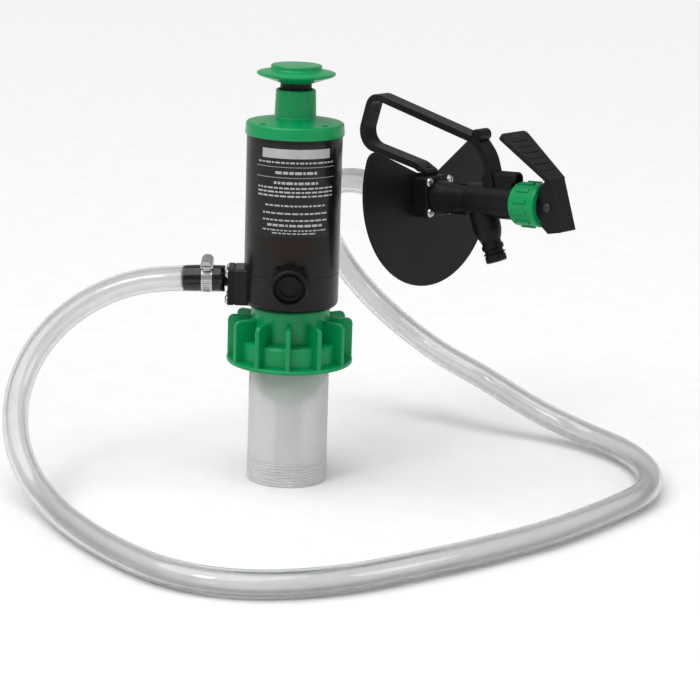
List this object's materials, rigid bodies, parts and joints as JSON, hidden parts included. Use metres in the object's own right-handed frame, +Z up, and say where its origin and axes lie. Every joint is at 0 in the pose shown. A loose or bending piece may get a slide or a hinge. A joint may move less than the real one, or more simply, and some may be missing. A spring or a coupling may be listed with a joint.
{
  "type": "hand drum pump",
  "caption": "Plunger air pump on a threaded drum adapter with a wing nut, a clear delivery hose and a hand-held lever tap with splash guard and handle.",
  "frame": {"origin": "on the pump axis in the plane of the drum lid, inside the adapter's lower thread", "axes": "+Z up along the pump axis, the outlet flange faces -X, the relief valve and the label face -Y"},
  "size_m": [0.4916, 0.4741, 0.5719],
  "materials": {
    "green_plastic": "glossy moulded green polypropylene",
    "black_plastic": "satin moulded black plastic",
    "body_black": "smooth black body plastic, slightly translucent",
    "label": null,
    "frosted_plastic": "frosted translucent natural plastic",
    "natural_plastic": "natural polyethylene tube",
    "clear_hose": "clear flexible tube",
    "black_rubber": "moulded rubber",
    "green_rubber": "green moulded rubber",
    "white_plastic": "white low-friction bearing plastic",
    "stainless": "polished stainless steel",
    "black_steel": "blackened steel"
  },
  "bodies": {
    "adapter": {"adapter_tube": "frosted_plastic", "face_gasket": "black_rubber"},
    "head": {"spigot": "green_plastic", "spigot_seal": "green_rubber", "slip_washer": "white_plastic", "dip_tube": "natural_plastic", "body_shell": "body_black", "manifold": "black_plastic", "valve_plate": "black_plastic", "check_valve": "green_rubber", "air_cylinder": "white_plastic", "cap": "green_plastic", "cap_seal": "black_rubber", "rod_bush": "white_plastic", "rod_wiper": "black_rubber", "label": "label", "relief_seat": "green_rubber", "relief_poppet": "green_rubber", "relief_spring": "stainless", "outlet_gasket": "black_rubber", "outlet_fitting": "black_plastic", "outlet_screws": "stainless", "hose": "clear_hose", "pump_clamp_band": "stainless", "pump_clamp_housing": "stainless", "pump_clamp_screw": "stainless", "tap_clamp_band": "stainless", "tap_clamp_housing": "stainless", "tap_clamp_screw": "stainless", "splash_guard": "black_plastic", "tap_inlet_fitting": "black_plastic", "tap_gasket": "black_rubber", "tap_body": "black_plastic", "tap_flange_screws": "stainless", "handle_loop": "black_plastic", "handle_screws": "black_steel", "bonnet_ring": "green_plastic", "bonnet": "black_plastic", "stem_spring": "stainless"},
    "nut": {"union_nut": "green_plastic"},
    "plunger": {"plunger_rod": "black_plastic", "piston": "black_plastic", "piston_seal": "black_rubber", "knob": "green_plastic"},
    "relief_knob": {"relief_knob": "black_plastic"},
    "stem": {"valve_stem": "black_plastic", "valve_seal": "green_rubber"},
    "lever": {"lever": "black_plastic", "lever_pin": "black_steel"}
  },
  "joints": [
    {"name": "head_lift", "type": "slide", "parent": "adapter", "child": "head", "axis": [0, 0, 1], "range_m": [0, 0.009]},
    {"name": "nut_turn", "type": "hinge", "parent": "head", "child": "nut", "pos_m": [0, 0, 0.1], "axis": [0, 0, 1], "range_deg": [0, 1440]},
    {"name": "plunger_slide", "type": "slide", "parent": "head", "child": "plunger", "axis": [0, 0, 1], "range_m": [0, 0.068]},
    {"name": "relief_turn", "type": "hinge", "parent": "head", "child": "relief_knob", "pos_m": [0, -0.045, 0.157], "axis": [0, -1, 0], "range_deg": [0, 90]},
    {"name": "stem_slide", "type": "slide", "parent": "head", "child": "stem", "axis": [0.7422, -0.6659, 0.075], "range_m": [0, 0.0036]},
    {"name": "lever_press", "type": "hinge", "parent": "stem", "child": "lever", "pos_m": [0.18695, -0.04892, 0.22288], "axis": [-0.6678, -0.7443, 0], "range_deg": [0, 20], "stiffness_Nm_per_rad": 0.8}
  ],
  "couplings": [
    {"joint": "head_lift", "follows": "nut_turn", "m_per_rad": 0.0003516},
    {"joint": "stem_slide", "follows": "lever_press", "m_per_rad": 0.01}
  ]
}
